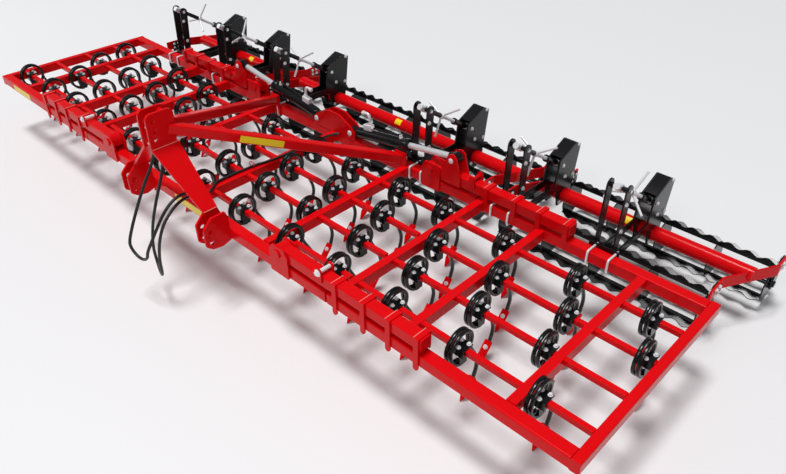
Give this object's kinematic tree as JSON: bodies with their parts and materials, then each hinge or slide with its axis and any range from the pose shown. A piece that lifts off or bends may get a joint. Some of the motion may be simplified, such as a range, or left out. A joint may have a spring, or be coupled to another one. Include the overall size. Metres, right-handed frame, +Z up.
{
  "type": "field cultivator",
  "caption": "Tractor-mounted field cultivator: folding red tube frame with rows of black coil-spring tines, hydraulic fold cylinders and serrated crumbler rollers on screw-set carriers.",
  "frame": {"origin": "on the ground under the middle of the machine's box, hoses left out", "axes": "+X to the machine's right, +Y to its rear (the tractor is towards -Y), +Z up"},
  "size_m": [5.562, 2.6405, 1.098],
  "materials": {
    "red_paint": "gloss",
    "black_paint": "satin",
    "zinc": "satin",
    "chrome": "polished",
    "hose_rubber": "matte"
  },
  "bodies": {
    "centre_frame": {"front_beam_centre": "red_paint", "rear_beam_centre": "red_paint", "long_bar_left": "red_paint", "long_bar_middle": "red_paint", "long_bar_right": "red_paint", "row_bars_centre": "red_paint", "tines_centre": "black_paint", "hinge_front_left": "red_paint", "hinge_front_right": "red_paint", "hinge_rear_left": "red_paint", "hinge_rear_right": "red_paint", "cylinder_bracket": "red_paint", "mast_left": "red_paint", "mast_right": "red_paint", "hitch_lower_left": "red_paint", "hitch_lower_right": "red_paint", "brace_left": "red_paint", "brace_right": "red_paint", "posts_centre": "black_paint", "carriers_centre": "black_paint", "spindles_centre": "zinc", "gang_centre": "red_paint", "hose_fittings": "zinc", "hose_one": "hose_rubber", "hose_two": "hose_rubber"},
    "wing_left": {"front_beam_left": "red_paint", "rear_beam_left": "red_paint", "wing_bars_inner_left": "red_paint", "wing_bars_outer_left": "red_paint", "row_bars_left": "red_paint", "tines_left": "black_paint", "wing_arm_front_left": "red_paint", "wing_arm_rear_left": "red_paint", "posts_left": "black_paint", "carriers_left": "black_paint", "spindles_left": "zinc", "gang_left": "red_paint"},
    "cylinder_barrel_left": {"barrel_left": "black_paint"},
    "cylinder_rod_left": {"rod_left": "chrome"},
    "wing_right": {"front_beam_right": "red_paint", "rear_beam_right": "red_paint", "wing_bars_inner_right": "red_paint", "wing_bars_outer_right": "red_paint", "row_bars_right": "red_paint", "tines_right": "black_paint", "wing_arm_front_right": "red_paint", "wing_arm_rear_right": "red_paint", "posts_right": "black_paint", "carriers_right": "black_paint", "spindles_right": "zinc", "gang_right": "red_paint"},
    "cylinder_barrel_right": {"barrel_right": "black_paint"},
    "cylinder_rod_right": {"rod_right": "chrome"},
    "front_roller_centre": {"roller_front_centre": "black_paint"},
    "rear_roller_centre": {"roller_rear_centre": "black_paint"},
    "front_roller_left": {"roller_front_left": "black_paint"},
    "rear_roller_left": {"roller_rear_left": "black_paint"},
    "front_roller_right": {"roller_front_right": "black_paint"},
    "rear_roller_right": {"roller_rear_right": "black_paint"}
  },
  "joints": [
    {"name": "wing_right_fold", "type": "hinge", "parent": "centre_frame", "child": "wing_right", "pos_m": [0.874, 0.22005, 0.537], "axis": [0, -1, 0], "range_deg": [0, 90]},
    {"name": "cylinder_right_tilt", "type": "hinge", "parent": "centre_frame", "child": "cylinder_barrel_right", "pos_m": [0.141, 0.22005, 0.53], "axis": [0, -1, 0], "range_deg": [0, 8.2]},
    {"name": "cylinder_right_stroke", "type": "slide", "parent": "cylinder_barrel_right", "child": "cylinder_rod_right", "axis": [-0.9886, 0, -0.1503], "range_m": [0, 0.29]},
    {"name": "wing_left_fold", "type": "hinge", "parent": "centre_frame", "child": "wing_left", "pos_m": [-0.936, 0.22005, 0.537], "axis": [0, 1, 0], "range_deg": [0, 90]},
    {"name": "cylinder_left_tilt", "type": "hinge", "parent": "centre_frame", "child": "cylinder_barrel_left", "pos_m": [-0.203, 0.22005, 0.53], "axis": [0, 1, 0], "range_deg": [0, 8.2]},
    {"name": "cylinder_left_stroke", "type": "slide", "parent": "cylinder_barrel_left", "child": "cylinder_rod_left", "axis": [0.9886, 0, -0.1503], "range_m": [0, 0.29]},
    {"name": "front_roller_centre_turn", "type": "hinge", "parent": "centre_frame", "child": "front_roller_centre", "pos_m": [-0.1125, 0.57105, 0.15], "axis": [1, 0, 0], "continuous": true},
    {"name": "rear_roller_centre_turn", "type": "hinge", "parent": "centre_frame", "child": "rear_roller_centre", "pos_m": [0.0625, 1.06105, 0.15], "axis": [1, 0, 0], "continuous": true},
    {"name": "front_roller_left_turn", "type": "hinge", "parent": "wing_left", "child": "front_roller_left", "pos_m": [-2.11, 0.57105, 0.15], "axis": [1, 0, 0], "continuous": true},
    {"name": "rear_roller_left_turn", "type": "hinge", "parent": "wing_left", "child": "rear_roller_left", "pos_m": [-1.935, 1.06105, 0.15], "axis": [1, 0, 0], "continuous": true},
    {"name": "front_roller_right_turn", "type": "hinge", "parent": "wing_right", "child": "front_roller_right", "pos_m": [1.9075, 0.57105, 0.15], "axis": [1, 0, 0], "continuous": true},
    {"name": "rear_roller_right_turn", "type": "hinge", "parent": "wing_right", "child": "rear_roller_right", "pos_m": [2.0825, 1.06105, 0.15], "axis": [1, 0, 0], "continuous": true}
  ],
  "couplings": [
    {"joint": "cylinder_right_tilt", "follows": "wing_right_fold", "ratio": 0.090884},
    {"joint": "cylinder_right_stroke", "follows": "wing_right_fold", "m_per_rad": 0.18431},
    {"joint": "cylinder_left_tilt", "follows": "wing_left_fold", "ratio": 0.090884},
    {"joint": "cylinder_left_stroke", "follows": "wing_left_fold", "m_per_rad": 0.18431}
  ]
}
